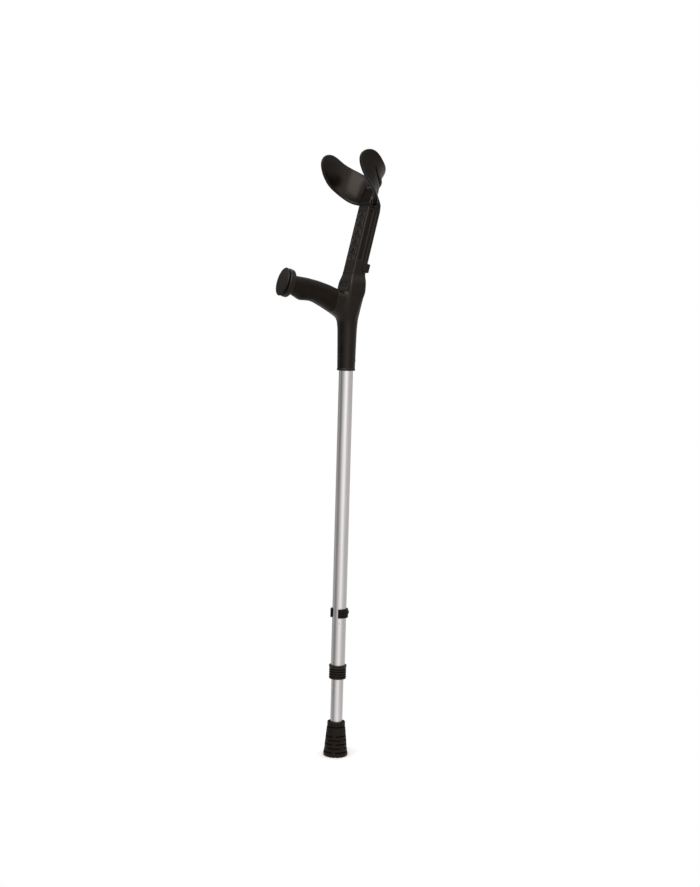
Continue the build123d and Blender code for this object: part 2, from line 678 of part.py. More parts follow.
with BuildPart() as cuff_clip:
    clip_low = CUFF_LOCK - CUFF_CLIP_HEIGHT / 2
    back_at = strut_half_depth(clip_low)
    outer_width = STRUT_WIDTH + 2 * (CUFF_CLIP_GAP + CUFF_CLIP_LEG_THICKNESS)
    inner_back = back_at + CUFF_CLIP_GAP
    with BuildSketch(strut_plane(clip_low)):
        with Locations((0, inner_back + CUFF_CLIP_PLATE - (CUFF_CLIP_PLATE + CUFF_CLIP_LEG) / 2)):
            RectangleRounded(outer_width, CUFF_CLIP_PLATE + CUFF_CLIP_LEG, CUFF_CLIP_CORNER)
        with Locations((0, inner_back - CUFF_CLIP_LEG)):
            RectangleRounded(
                STRUT_WIDTH + 2 * CUFF_CLIP_GAP,
                2 * CUFF_CLIP_LEG,
                CUFF_CLIP_INNER_CORNER,
                mode=Mode.SUBTRACT,
            )
    extrude(amount=CUFF_CLIP_HEIGHT)
    with BuildSketch(back_plane(CUFF_LOCK, 0)):
        Circle(CUFF_PIN_R)
    extrude(amount=inner_back + CUFF_CLIP_PLATE - CUFF_CLIP_SKIN, mode=Mode.SUBTRACT)
export(cuff_clip, "cuff_clip")

with BuildPart() as cuff_clip_pin:
    with BuildSketch(back_plane(CUFF_LOCK, inner_back + CUFF_CLIP_PLATE - CUFF_CLIP_SKIN)):
        Circle(CUFF_PIN_R)
    extrude(amount=-CUFF_PIN_DEPTH)
export(cuff_clip_pin, "cuff_clip_pin")

# ---------------------------------------------------------------- badge and rivets
with BuildPart() as badge:
    with BuildSketch(BADGE_PLANE.offset(-BADGE_RECESS + FIT)):
        RectangleRounded(BADGE_WIDTH, BADGE_HEIGHT, BADGE_CORNER)
    extrude(amount=BADGE_THICKNESS)
export(badge, "badge")

with BuildPart() as sleeve_rivets:
    for rivet_z in RIVET_Z:
        with BuildSketch(Plane.XZ.offset(-RIVET_INNER)):
            with Locations((0, rivet_z)):
                Circle(RIVET_R)
        extrude(amount=-(RIVET_SEAT + FIT - RIVET_INNER))
        with BuildSketch(Plane.XZ.offset(-RIVET_SEAT - FIT)):
            with Locations((0, rivet_z)):
                Circle(RIVET_HEAD_R)
        extrude(amount=-RIVET_HEAD)
export(sleeve_rivets, "sleeve_rivets")
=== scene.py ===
"""Forearm crutch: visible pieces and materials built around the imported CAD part.

Lengths inside the shape functions are millimetres in the CAD frame; Blender objects are in metres.
"""

import math

import bpy
import numpy as np
from mathutils import Matrix, Vector


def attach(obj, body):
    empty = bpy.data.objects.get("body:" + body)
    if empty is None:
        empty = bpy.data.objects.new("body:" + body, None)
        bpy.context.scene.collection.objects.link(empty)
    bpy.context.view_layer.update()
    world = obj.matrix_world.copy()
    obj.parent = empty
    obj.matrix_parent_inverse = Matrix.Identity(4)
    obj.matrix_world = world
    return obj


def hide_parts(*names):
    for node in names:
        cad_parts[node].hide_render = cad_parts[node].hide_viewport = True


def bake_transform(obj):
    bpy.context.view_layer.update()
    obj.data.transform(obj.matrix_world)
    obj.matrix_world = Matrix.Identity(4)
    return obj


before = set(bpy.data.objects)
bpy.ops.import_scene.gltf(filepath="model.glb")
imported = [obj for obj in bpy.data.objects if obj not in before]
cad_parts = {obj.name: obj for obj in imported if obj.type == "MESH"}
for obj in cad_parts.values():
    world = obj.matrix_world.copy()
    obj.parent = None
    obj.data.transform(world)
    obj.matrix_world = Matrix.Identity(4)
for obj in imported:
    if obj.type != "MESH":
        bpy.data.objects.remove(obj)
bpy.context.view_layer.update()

MM = 0.001

# ---------------------------------------------------------------- shared dimensions
LOCK_Z = 228.0
STRUT_LEAN = math.radians(14.5)
STRUT_TOP_Y = 36.0
STRUT_TOP_Z = 858.0
STRUT_HALF_WIDTH = 14.5
STRUT_HALF_TOP = 11.7
STRUT_HALF_LOW = 11.8
STRUT_LOW = -120.0
GRIP_TILT = math.radians(16.0)
GRIP_Z0 = 707.0
COVER_START = 31.0
COVER_END = 111.0
GRIP_SKIN = 3.8
GRIP_CORNER = 13.0
BADGE_LEAN = math.radians(15.4)
BADGE_Y = -8.6
BADGE_Z = 737.3
CUFF_LEAN = math.radians(15.5)
CUFF_BACK_Y = 36.8
CUFF_BACK_Z = 877.9
CUFF_R = 51.4
CUFF_STRAIGHT = 18.2
CUFF_LOCK = -92.0
CUFF_PITCH = 8.0
CUFF_HOLES = 7
LOCK_HOLE_RADIUS = 2.35


# ---------------------------------------------------------------- distance fields
def box2(a, b, half_a, half_b, radius):
    """Distance to a rounded rectangle."""
    qa = np.abs(a) - half_a + radius
    qb = np.abs(b) - half_b + radius
    outside = np.hypot(np.maximum(qa, 0.0), np.maximum(qb, 0.0))
    return outside + np.minimum(np.maximum(qa, qb), 0.0) - radius


def slab(a, low, high):
    """Distance to the layer from low to high."""
    return np.maximum(low - a, a - high)


def join(a, b, k):
    """Union with a fillet."""
    h = np.maximum(k - np.abs(a - b), 0.0) / k
    return np.minimum(a, b) - h * h * k / 4


def meet(a, b, k):
    """Intersection with a rounded edge."""
    return -join(-a, -b, k)


def cut(a, b, k):
    """a without b, with a rounded edge."""
    return -join(-a, b, k)


def smooth_step(a, low, high):
    """A smooth rise from 0 at low to 1 at high."""
    t = np.clip((a - low) / (high - low), 0.0, 1.0)
    return t * t * (3 - 2 * t)


def hump(a, low, high):
    """A smooth rise and fall between two values."""
    return smooth_step(a, low, (low + high) / 2) * (1 - smooth_step(a, (low + high) / 2, high))


def curve(stations, values):
    """A smooth function through the stations that doesn't overshoot between them."""
    x = np.array(stations, float)
    y = np.array(values, float)
    width = np.diff(x)
    slope = np.diff(y) / width
    inner = np.where(
        slope[:-1] * slope[1:] > 0,
        2 * slope[:-1] * slope[1:] / np.where(slope[:-1] + slope[1:] == 0, 1, slope[:-1] + slope[1:]),
        0.0,
    )
    d = np.concatenate([[slope[0]], inner, [slope[-1]]])
    dense = np.linspace(x[0], x[-1], 400)
    i = np.clip(np.searchsorted(x, dense) - 1, 0, len(width) - 1)
    t = (dense - x[i]) / width[i]
    h00 = 2 * t**3 - 3 * t**2 + 1
    h10 = t**3 - 2 * t**2 + t
    h01 = -2 * t**3 + 3 * t**2
    h11 = t**3 - t**2
    table = h00 * y[i] + h10 * width[i] * d[i] + h01 * y[i + 1] + h11 * width[i] * d[i + 1]
    return lambda a: np.interp(a, dense, table)


# ---------------------------------------------------------------- meshes
COARSE_STEP = 4


def shade_smooth(mesh):
    mesh.polygons.foreach_set("use_smooth", np.ones(len(mesh.polygons), bool))
    mesh.update()


def add_object(name, verts, faces):
    """A new object in metres from vertices in millimetres."""
    mesh = bpy.data.meshes.new(name)
    mesh.from_pydata((np.asarray(verts) * MM).tolist(), [], np.asarray(faces).tolist())
    mesh.validate()
    shade_smooth(mesh)
    obj = bpy.data.objects.new(name, mesh)
    bpy.context.scene.collection.objects.link(obj)
    return obj


def sample(field, low, counts, step):
    """The field on a grid. It is worked out in full only near its zero level."""
    axes = [low[i] + step * np.arange(counts[i]) for i in range(3)]
    coarse_axes = [a[::COARSE_STEP] for a in axes]
    cx, cy, cz = np.meshgrid(*coarse_axes, indexing="ij")
    coarse = field(cx, cy, cz)
    near = np.abs(coarse) < step * COARSE_STEP * 2.6
    full = coarse
    for axis in range(3):
        full = np.repeat(full, COARSE_STEP, axis=axis)
        near = np.repeat(near, COARSE_STEP, axis=axis)
    window = tuple(slice(0, n) for n in counts)
    full = full[window].copy()
    near = near[window]
    index = np.nonzero(near)
    full[index] = field(axes[0][index[0]], axes[1][index[1]], axes[2][index[2]])
    return full


def solid(name, field, low, high, step):
    """A closed quad mesh on the field's zero level."""
    low = np.array(low, float) - 2 * step
    high = np.array(high, float) + 2 * step
    counts = (np.ceil((high - low) / step / COARSE_STEP).astype(int) * COARSE_STEP).tolist()
    values = sample(field, low, counts, step)
    inside = values < 0
    cells = [n - 1 for n in counts]
    total = np.zeros(cells + [3])
    hits = np.zeros(cells)
    quads = []
    for axis in range(3):
        lead = [slice(None)] * 3
        back = [slice(None)] * 3
        lead[axis] = slice(0, -1)
        back[axis] = slice(1, None)
        a = values[tuple(lead)]
        b = values[tuple(back)]
        crossing = np.nonzero(inside[tuple(lead)] != inside[tuple(back)])
        share = a[crossing] / (a[crossing] - b[crossing])
        point = np.stack(crossing, axis=1).astype(float)
        point[:, axis] += share
        others = [i for i in range(3) if i != axis]
        keep = np.ones(len(share), bool)
        for o in others:
            keep &= (crossing[o] > 0) & (crossing[o] < cells[o])
        crossing = tuple(c[keep] for c in crossing)
        point = point[keep]
        corners = []
        for du, dv in ((0, 0), (-1, 0), (-1, -1), (0, -1)):
            cell = list(crossing)
            cell[others[0]] = crossing[others[0]] + du
            cell[others[1]] = crossing[others[1]] + dv
            cell = tuple(cell)
            np.add.at(total, cell, point)
            np.add.at(hits, cell, 1)
            corners.append(np.ravel_multi_index(cell, cells))
        quad = np.stack(corners, axis=1)
        flip = inside[crossing] == (axis == 1)
        quad[flip] = quad[flip][:, ::-1]
        quads.append(quad)
    faces = np.concatenate(quads)
    used, faces = np.unique(faces, return_inverse=True)
    faces = faces.reshape(-1, 4)
    cell = np.unravel_index(used, cells)
    verts = low + step * (total[cell] / hits[cell][:, None])
    for _ in range(3):
        verts = verts - settle(field, verts, step)
    return add_object(name, verts, faces)


def settle(field, verts, step):
    """The move that brings each vertex onto the zero level."""
    e = step * 0.25
    value = field(*verts.T)
    slope = np.stack(
        [
            field(*(verts + e * np.eye(3)[i]).T) - field(*(verts - e * np.eye(3)[i]).T)
            for i in range(3)
        ],
        axis=1,
    ) / (2 * e)
    size = np.maximum((slope**2).sum(axis=1), 0.2)
    move = slope * (value / size)[:, None]
    reach = np.linalg.norm(move, axis=1)
    return move * np.minimum(1.0, 0.45 * step / np.maximum(reach, 1e-9))[:, None]


def mark_groove_shade(obj, recess):
    """Store how deep in a groove each vertex lies, from 0 to 1; the material turns the gloss down there,
    which paints shade into the grooves.
    """
    count = len(obj.data.vertices)
    flat = np.empty(count * 3)
    obj.data.vertices.foreach_get("co", flat)
    share = np.clip(recess(*(flat.reshape(-1, 3) / MM).T), 0.0, 1.0)
    attribute = obj.data.attributes.new("recess", "FLOAT", "POINT")
    attribute.data.foreach_set("value", share.astype(np.float32))


def lathe(name, profile, segments):
    """A closed ring of (radius, z) points turned about Z."""
    angles = np.linspace(0, 2 * math.pi, segments, endpoint=False)
    verts = [(r * math.cos(a), r * math.sin(a), z) for a in angles for r, z in profile]
    n = len(profile)
    faces = []
    for i in range(segments):
        for j in range(n):
            a = i * n + j
            b = i * n + (j + 1) % n
            c = ((i + 1) % segments) * n + (j + 1) % n
            d = ((i + 1) % segments) * n + j
            faces.append((a, d, c, b))
    return add_object(name, verts, faces)


# ---------------------------------------------------------------- handle
def strut_coords(y, z):
    """Along the strut from its top, and back from its axis."""
    dy = y - STRUT_TOP_Y
    dz = z - STRUT_TOP_Z
    along = dy * math.sin(STRUT_LEAN) + dz * math.cos(STRUT_LEAN)
    depth = dy * math.cos(STRUT_LEAN) - dz * math.sin(STRUT_LEAN)
    return along, depth


def grip_coords(y, z):
    """Out along the grip from the shaft, and up from its axis."""
    dz = z - GRIP_Z0
    out = -y * math.cos(GRIP_TILT) + dz * math.sin(GRIP_TILT)
    up = y * math.sin(GRIP_TILT) + dz * math.cos(GRIP_TILT)
    return out, up


def badge_coords(y, z):
    """Up the badge's face from its centre, and out from its face."""
    dy = y - BADGE_Y
    dz = z - BADGE_Z
    up = dy * math.sin(BADGE_LEAN) + dz * math.cos(BADGE_LEAN)
    out = -dy * math.cos(BADGE_LEAN) + dz * math.sin(BADGE_LEAN)
    return up, out


GRIP_AT = [-6.0, 12.0, 31.0, 48.0, 65.0, 77.0, 87.0, 97.0, 111.0]
grip_top = curve(GRIP_AT, [19.0, 19.0, 18.8, 19.5, 19.2, 18.2, 17.2, 15.6, 13.4])
grip_bottom = curve(GRIP_AT, [-24.0, -22.4, -18.3, -15.1, -13.3, -15.3, -17.6, -16.0, -13.8])
grip_width = curve(GRIP_AT, [30.0, 30.0, 31.0, 31.5, 31.0, 30.5, 30.0, 28.5, 27.0])

JUNCTION_AT = [608.0, 630.0, 652.0, 670.0, 686.0, 702.0, 718.0, 731.0, 741.0, 750.0, 757.0]
junction_width = curve(JUNCTION_AT, [27.4, 28.2, 29.1, 30.0, 31.8, 33.6, 35.0, 37.4, 36.8, 33.2, 29.2])
junction_front = curve(
    JUNCTION_AT, [-13.7, -14.1, -14.55, -15.0, -16.5, -18.0, -13.8, -10.2, -7.7, -5.0, -2.5]
)
junction_back = curve(JUNCTION_AT, [13.7, 14.1, 14.55, 15.0, 16.0, 18.8, 20.8, 21.6, 21.9, 22.3, 22.8])
junction_corner = curve(JUNCTION_AT, [13.6, 14.0, 14.4, 14.8, 15.0, 14.0, 10.0, 4.6, 3.8, 3.2, 2.5])


# grooves along both sides of the strut: centre and half width, measured across its side
STRUT_GROOVES = ((-5.0, 3.5), (3.2, 1.4))
RIVETS_Z = (624.0, 654.0)


def strut_half(along):
    """Half the strut's depth."""
    return np.interp(along, [STRUT_LOW, 0.0], [STRUT_HALF_LOW, STRUT_HALF_TOP])


def grip_tube(x, out, up, skin):
    """The grip's section, drawn in by skin."""
    top = grip_top(out)
    bottom = grip_bottom(out)
    middle = (top + bottom) / 2
    half_up = (top - bottom) / 2 - skin
    return box2(x, up - middle, grip_width(out) / 2 - skin, half_up, GRIP_CORNER - skin)


def handle_mass(x, y, z):
    """Sleeve, junction, strut and grip as one blended shape."""
    along, depth = strut_coords(y, z)
    out, up = grip_coords(y, z)
    front = junction_front(z)
    back = junction_back(z)
    half_width = junction_width(z) / 2
    junction = box2(x, y - (front + back) / 2, half_width, (back - front) / 2, junction_corner(z))
    junction = meet(junction + 1.6 * smooth_step(z, 746.0, 760.0), slab(z, 608.0, 759.0), 1.0)
    strut = box2(x, depth, STRUT_HALF_WIDTH, strut_half(along), 2.4)
    strut = meet(strut, slab(along, -126.0, 0.0), 0.4)
    grip = np.maximum(grip_tube(x, out, up, 0.0), slab(out, -6.0, COVER_END))
    return join(join(junction, strut, 2.4), grip, 7.0)


def handle_field(x, y, z):
    """The moulded handle with its core, bore, slot, grooves, panels and seats."""
    along, depth = strut_coords(y, z)
    out, up = grip_coords(y, z)
    body = meet(handle_mass(x, y, z), out - COVER_START, 0.35)
    core = np.maximum(grip_tube(x, out, up, GRIP_SKIN + 0.15), slab(out, 0.0, COVER_END - 0.3))
    body = np.minimum(body, core)
    # lip at the sleeve's mouth
    rho = np.hypot(x, y)
    lip = box2(rho - 12.8, z - 609.6, 1.5, 1.5, 0.9)
    body = join(body, lip, 0.8)
    # bore for the tube and slot for the cuff's stem
    body = cut(body, np.maximum(rho - 11.05, z - 696.05), 0.7)
    slot = np.maximum(box2(x, depth, 9.5, 4.8, 0.6), -154.0 - along)
    body = cut(body, slot, 0.8)
    # grooves along both sides
    side = STRUT_HALF_WIDTH - np.abs(x)
    for centre, half in STRUT_GROOVES:
        groove = box2(depth - centre, along + 44.0, half, 40.0, min(half, 2.0))
        body = cut(body, np.maximum(groove, side - 2.0), 1.5)
    # recessed front panel with fine ribs
    face = strut_half(along) + depth
    panel = box2(x, along + 45.5, 9.5, 38.5, 2.5)
    long_ribs = np.abs(np.abs(x) - 6.4)
    slanted_ribs = np.abs(np.mod(along * 0.9 + np.abs(x) * 1.25, 13.0) - 6.5) / 1.6
    ribs = np.minimum(long_ribs, slanted_ribs)
    floor = 1.1 - 0.75 * (1 - smooth_step(ribs, 0.35, 0.9))
    body = cut(body, np.maximum(panel, face - floor), 0.45)
    # pockets in the back
    rear = strut_half(along) - depth
    step = np.mod(along + 6.0, 15.0) - 9.0
    pocket = box2(x, step, 9.2, 5.4, 1.8)
    pocket = np.maximum(pocket, slab(along, -79.0, -5.0))
    body = cut(body, np.maximum(pocket, rear - 1.8), 0.7)
    # hole for the cuff clip's pin, seats for the rivets
    hole = np.maximum(np.hypot(x, along - CUFF_LOCK) - LOCK_HOLE_RADIUS, -depth)
    body = cut(body, hole, 0.5)
    for rivet in RIVETS_Z:
        radius = np.hypot(x, z - rivet)
        body = cut(body, np.maximum(radius - 4.3, 13.3 - y), 0.4)
    # badge seat
    badge_up, badge_out = badge_coords(y, z)
    seat = np.maximum(box2(x, badge_up, 12.75, 7.75, 1.6), slab(badge_out, -1.0, 16.0))
    return cut(body, seat, 0.9)


def handle_groove_shade(x, y, z):
    """Painted shade on the floors of the side grooves."""
    along, depth = strut_coords(y, z)
    side = STRUT_HALF_WIDTH - np.abs(x)
    flank = (side < 4.0) * (np.abs(depth) < 9.6) * (slab(along, -86.0, -2.0) < 0)
    return 0.35 * flank * smooth_step(side, 0.5, 1.5)


def cover_field(x, y, z):
    """The soft grip cover round the core."""
    out, up = grip_coords(y, z)
    body = meet(handle_mass(x, y, z), slab(out, COVER_START + 0.1, COVER_END), 0.35)
    return cut(body, grip_tube(x, out, up, GRIP_SKIN), 0.4)


def cap_share(x, up):
    """Distance from the cap's middle as a share of its oval outline."""
    return np.hypot(x / 16.0, (up + 1.1) / 22.2)


def cap_field(x, y, z):
    """The flanged and grooved disc at the grip's end, with its spigot."""
    out, up = grip_coords(y, z)
    wide = 20.0
    flange_rho = wide * np.hypot(x / 17.5, (up + 0.5) / 21.75)
    flange = meet(flange_rho - wide, slab(out, 111.05, 121.3), 3.2)
    rho = wide * cap_share(x, up)
    neck = np.maximum(rho - wide + 2.6, slab(out, 113.0, 124.5))
    dome = 126.4 - 1.5 * (rho / wide) ** 2.4
    cap = meet(rho - wide, slab(out, 123.3, dome), 1.6)
    spigot = np.maximum(np.hypot(x, up) - 7.0, slab(out, 93.0, 113.0))
    return np.minimum(join(join(flange, neck, 0.6), cap, 0.6), spigot)


def cap_groove_shade(x, y, z):
    """Painted shade in the groove between the cap and its flange."""
    out, up = grip_coords(y, z)
    return 0.8 * (slab(out, 121.2, 123.4) < 0) * (cap_share(x, up) < 0.96)


def badge_field(x, y, z):
    """A plain plate with a recess, two bars and a fine line."""
    line_half = 9.6
    up, out = badge_coords(y, z)
    plate = meet(box2(x, up, 12.5, 7.5, 1.5), slab(out, -0.95, 0.65), 0.6)
    well = box2(x, up - 2.7, 10.9, 3.5, 0.8)
    plate = cut(plate, np.maximum(well, -0.75 - out), 0.25)
    for level in (4.4, 1.4):
        bar = box2(x, up - level, line_half, 0.75, 0.6)
        plate = join(plate, np.maximum(bar, slab(out, -0.9, 0.1)), 0.2)
    line = np.maximum(box2(x, up + 5.3, line_half, 0.45, 0.4), 0.1 - out)
    return cut(plate, line, 0.2)


# ---------------------------------------------------------------- cuff
def cuff_coords(x, y, z):
    """Round the band from its back, out from its mid-surface, and up its lean."""
    dy = y - CUFF_BACK_Y
    dz = z - CUFF_BACK_Z
    forward = -dy * math.cos(CUFF_LEAN) + dz * math.sin(CUFF_LEAN)
    up = dy * math.sin(CUFF_LEAN) + dz * math.cos(CUFF_LEAN)
    curved = forward < CUFF_R
    radius = np.where(curved, np.hypot(x, forward - CUFF_R), np.abs(x))
    angle = np.where(curved, np.arctan2(np.abs(x), np.maximum(CUFF_R - forward, 1e-6)), math.pi / 2)
    round_from_back = CUFF_R * angle + np.where(curved, 0.0, forward - CUFF_R)
    return round_from_back, radius - CUFF_R, up


QUARTER = CUFF_R * math.pi / 2
CUFF_LENGTH = QUARTER + CUFF_STRAIGHT
CUFF_HALF_BACK = 27.6
CUFF_HALF_ARM = 25.8
CUFF_RISE = 35.9
CUFF_LOWEST = -15.8
CUFF_TIP_DROP = 4.6
CUFF_TIP_ROUND = 32.0
CUFF_HALF_WALL = 1.75
CUFF_ROUNDING = 1.5


def cuff_edges(round_from_back):
    """Middle height and half height of the band."""
    distance = np.minimum(round_from_back, CUFF_LENGTH)
    half = CUFF_HALF_BACK + (CUFF_HALF_ARM - CUFF_HALF_BACK) * smooth_step(distance, 0.0, QUARTER)
    angle = np.minimum(distance, QUARTER) / CUFF_R
    forward = CUFF_R * (1 - np.cos(angle)) + np.maximum(distance - QUARTER, 0.0)
    middle = CUFF_RISE * (forward / (CUFF_R + CUFF_STRAIGHT)) ** 0.8
    low = middle - half + 3.0
    low = (low + CUFF_LOWEST + np.hypot(low - CUFF_LOWEST, 4.0)) / 2
    high = middle + half + 2.2 * hump(distance, 4.0, 62.0)
    left = CUFF_LENGTH - distance
    high = high - CUFF_TIP_DROP * np.clip(1 - left / 26.0, 0.0, 1.0) ** 2
    tip = np.clip(left / CUFF_TIP_ROUND, 0.0, 1.0)
    round_off = np.sqrt(np.maximum(1 - (1 - tip) ** 2, 0.0))
    return (low + high) / 2, (high - low) / 2 * round_off


# the edges turn fastest at the tips, so the stations crowd there
TIP_STRETCH = 6
EDGE_AT = np.concatenate(
    [
        np.linspace(0, CUFF_LENGTH - TIP_STRETCH, 300),
        CUFF_LENGTH - TIP_STRETCH * np.linspace(1, 0, 200)[1:] ** 2,
    ]
)
EDGE_MIDDLE, EDGE_HALF = cuff_edges(EDGE_AT)
EDGE_SLOPE = np.gradient(EDGE_HALF, EDGE_AT)

# a moulded crease on the outside of both arms: distance round from the back, share of the half height
CREASE_AT = [18.0, 30.0, 43.0, 52.0, 58.0, 62.0, 67.0]
CREASE_HALF_WIDTH = 2.6
crease_line = curve(CREASE_AT, [-0.16, -0.09, -0.04, -0.03, 0.02, 0.1, 0.23])


def crease_distance(around, height, half):
    """Distance from the crease as a share of its half width, and height above it."""
    above = height - half * crease_line(around)
    ends = np.maximum(CREASE_AT[0] - around, around - CREASE_AT[-1])
    return np.maximum(np.abs(above) / CREASE_HALF_WIDTH, ends), above


def cuff_crease_shade(x, y, z):
    """Painted shade in the crease on the outside of both arms."""
    around, off, up = cuff_coords(x, y, z)
    half = np.interp(around, EDGE_AT, EDGE_HALF)
    crease, _ = crease_distance(around, up - np.interp(around, EDGE_AT, EDGE_MIDDLE), half)
    return (off > -0.5) * (1 - smooth_step(crease, 0.55, 0.95))


def cuff_band(x, y, z):
    """The arm band: rolled edges, a bead along them, and the crease, lip and tuck of its outside."""
    around, off, up = cuff_coords(x, y, z)
    middle = np.interp(around, EDGE_AT, EDGE_MIDDLE)
    half = np.interp(around, EDGE_AT, EDGE_HALF)
    slope = np.clip(np.interp(around, EDGE_AT, EDGE_SLOPE), -12.0, 12.0)
    height = up - middle
    share = np.clip(height / np.maximum(half, 1.0), -1.0, 1.0)
    deeper = np.where(share < 0, 1.6 - 1.25 * np.minimum(around / QUARTER, 1.0), 1.0)
    lean = 2.6 * deeper * np.minimum(half / 18.5, 1.0) ** 2 * (share**2 + share**4) / 2
    edge = (np.abs(height) - half) / np.sqrt(1 + slope**2)
    edge = np.maximum(edge, around - CUFF_LENGTH)
    bead = 0.55 * smooth_step(edge, -3.2, -2.0)
    crease, above = crease_distance(around, height, half)
    relief = -2.6 * (1 - smooth_step(crease, 0.5, 1.0))
    relief = relief + 2.2 * hump(above, 1.0, 9.0) * hump(around, 16.0, 56.0)
    relief = relief - 1.5 * hump(share, -0.95, -0.35) * hump(around, 20.0, 60.0)
    wall = np.abs(off - lean) - CUFF_HALF_WALL - bead - relief * (off > lean)
    q_wall = wall + CUFF_ROUNDING
    q_edge = edge + CUFF_ROUNDING
    outside = np.hypot(np.maximum(q_wall, 0.0), np.maximum(q_edge, 0.0))
    return outside + np.minimum(np.maximum(q_wall, q_edge), 0.0) - CUFF_ROUNDING


# grooves along both sides of the neck: centre and half width, measured across its side
NECK_GROOVES = ((-5.0, 3.3), (3.0, 1.3))
NECK_AT = [0.1, 7.5, 13.5, 19.5, 30.0]
neck_width = curve(NECK_AT, [29.0, 28.2, 26.6, 24.4, 20.0])
neck_front = curve(NECK_AT, [-11.7, -11.7, -10.8, -9.0, -6.6])
neck_back = curve(NECK_AT, [11.3, 10.4, 7.6, 3.6, -1.8])


def cuff_field(x, y, z):
    """Band, neck and the stem with its lock holes."""
    along, depth = strut_coords(y, z)
    front = neck_front(along)
    back = neck_back(along)
    neck = box2(x, depth - (front + back) / 2, neck_width(along) / 2, (back - front) / 2, 2.2)
    side = neck_width(along) / 2 - np.abs(x)
    for centre, half in NECK_GROOVES:
        shift = centre - 0.12 * along
        groove = box2(depth - shift, along - 5.0, half - 0.08 * along, 14.0, 1.2)
        neck = cut(neck, np.maximum(groove, side - 1.4), 0.6)
    front_groove = np.maximum(box2(along - 2.1, depth + 12.4, 2.0, 3.2, 0.6), np.abs(x) - 13.2)
    neck = cut(neck, front_groove, 0.4)
    neck = meet(meet(neck, along - 30.0, 2.5), 0.12 - along, 0.3)
    stem = meet(box2(x, depth, 9.0, 4.3, 1.5), slab(along, -150.0, 4.0), 1.0)
    for i in range(CUFF_HOLES):
        hole = np.hypot(x, along - CUFF_LOCK + i * CUFF_PITCH) - LOCK_HOLE_RADIUS
        stem = cut(stem, hole, 0.4)
    return np.minimum(join(cuff_band(x, y, z), neck, 6.0), stem)


def cuff_clip_field(x, y, z):
    """The clip behind the strut: a three-sided shell with grip slots and two snap ridges."""
    along, depth = strut_coords(y, z)
    inner = 12.135
    low = slab(along, CUFF_LOCK - 6.75, CUFF_LOCK + 6.75)
    outer = box2(x, depth - (inner + 3.4 - 5.95), 16.45, 5.95, 1.6)
    shell = cut(outer, box2(x, depth - (inner - 8.5), 14.85, 8.5, 1.0), 0.5)
    shell = meet(shell, low, 1.0)
    ridge = np.mod(along - CUFF_LOCK + 1.5, 3.0) - 1.5
    slots = np.hypot(ridge - 1.5 * np.sign(ridge), depth - inner - 3.5) - 0.7
    slots = np.maximum(slots, np.abs(x) - 11.0)
    shell = cut(shell, slots, 0.4)
    bump = np.maximum(np.abs(np.abs(x) - 15.1) - 0.6, np.hypot(along - CUFF_LOCK, depth - 4.6) - 1.1)
    return np.minimum(shell, bump)


# ---------------------------------------------------------------- height clip and ferrule
CLIP_OUTER = 14.0
CLIP_GAP_TURN = 16.0
CLIP_GAP_HALF = 30.0


def height_clip_field(x, y, z):
    """The open knurled ring with the boss of its lock pin."""
    rho = np.hypot(x, y)
    turn = np.degrees(np.arctan2(x, -y))
    ring = box2(rho - 12.55, z - LOCK_Z, 1.45, 7.0, 0.8)
    gap = (np.abs(turn - CLIP_GAP_TURN) - CLIP_GAP_HALF) * np.radians(rho)
    ring = cut(ring, gap, 1.6)
    level = z - LOCK_Z
    rows = np.abs(np.mod(level + 1.7, 3.4) - 1.7)
    rows = np.where(np.abs(level) > 5.0, 9.0, rows)
    near = slab(turn, 54.0, 140.0)
    far = slab(turn, -128.0, -30.0)
    columns = np.abs(np.mod(turn - 60.0 + 9.5, 19.0) - 9.5) * math.radians(13.4)
    field = np.minimum(near, far) * math.radians(13.0)
    grid = np.minimum(rows, columns) - 0.5
    grid = np.maximum(grid, 13.5 - rho)
    grid = np.maximum(grid, np.maximum(field, np.abs(level) - 6.2))
    ring = cut(ring, grid, 0.35)
    boss = meet(np.hypot(x, z - LOCK_Z) - 4.2, slab(y, 11.3, 16.4), 1.6)
    ring = join(ring, boss, 1.2)
    return cut(ring, np.maximum(rho - 11.08, y - 11.4), 0.3)


FERRULE_Z = [0.0, 1.2, 3.2, 6.0, 7.4, 10.5, 13.8, 20.2, 26.5, 33.0, 46.4, 48.0, 53.6, 54.5]
FERRULE_RADIUS = [17.8, 19.0, 19.4, 19.1, 18.5, 18.2, 17.7, 17.2, 16.7, 15.9, 14.5, 14.2, 13.8, 13.2]
RIB_GROOVES = [(7.4, 18.8), (13.8, 18.1), (20.2, 17.6), (26.5, 17.1), (32.8, 16.3)]


def ring_groove_shade(radius):
    """Painted shade in the grooves of a ring of this outer radius."""

    def recess(x, y, z):
        depth = radius - np.hypot(x, y)
        return (depth < 1.2) * smooth_step(depth, 0.15, 0.45)

    return recess


def ferrule_groove_shade(x, y, z):
    """Painted shade in the grooves between the ribs."""
    wall = np.interp(z, FERRULE_Z, FERRULE_RADIUS) - np.hypot(x, y)
    return (z > 3.0) * (wall < 3.0) * smooth_step(wall, 0.25, 0.8)


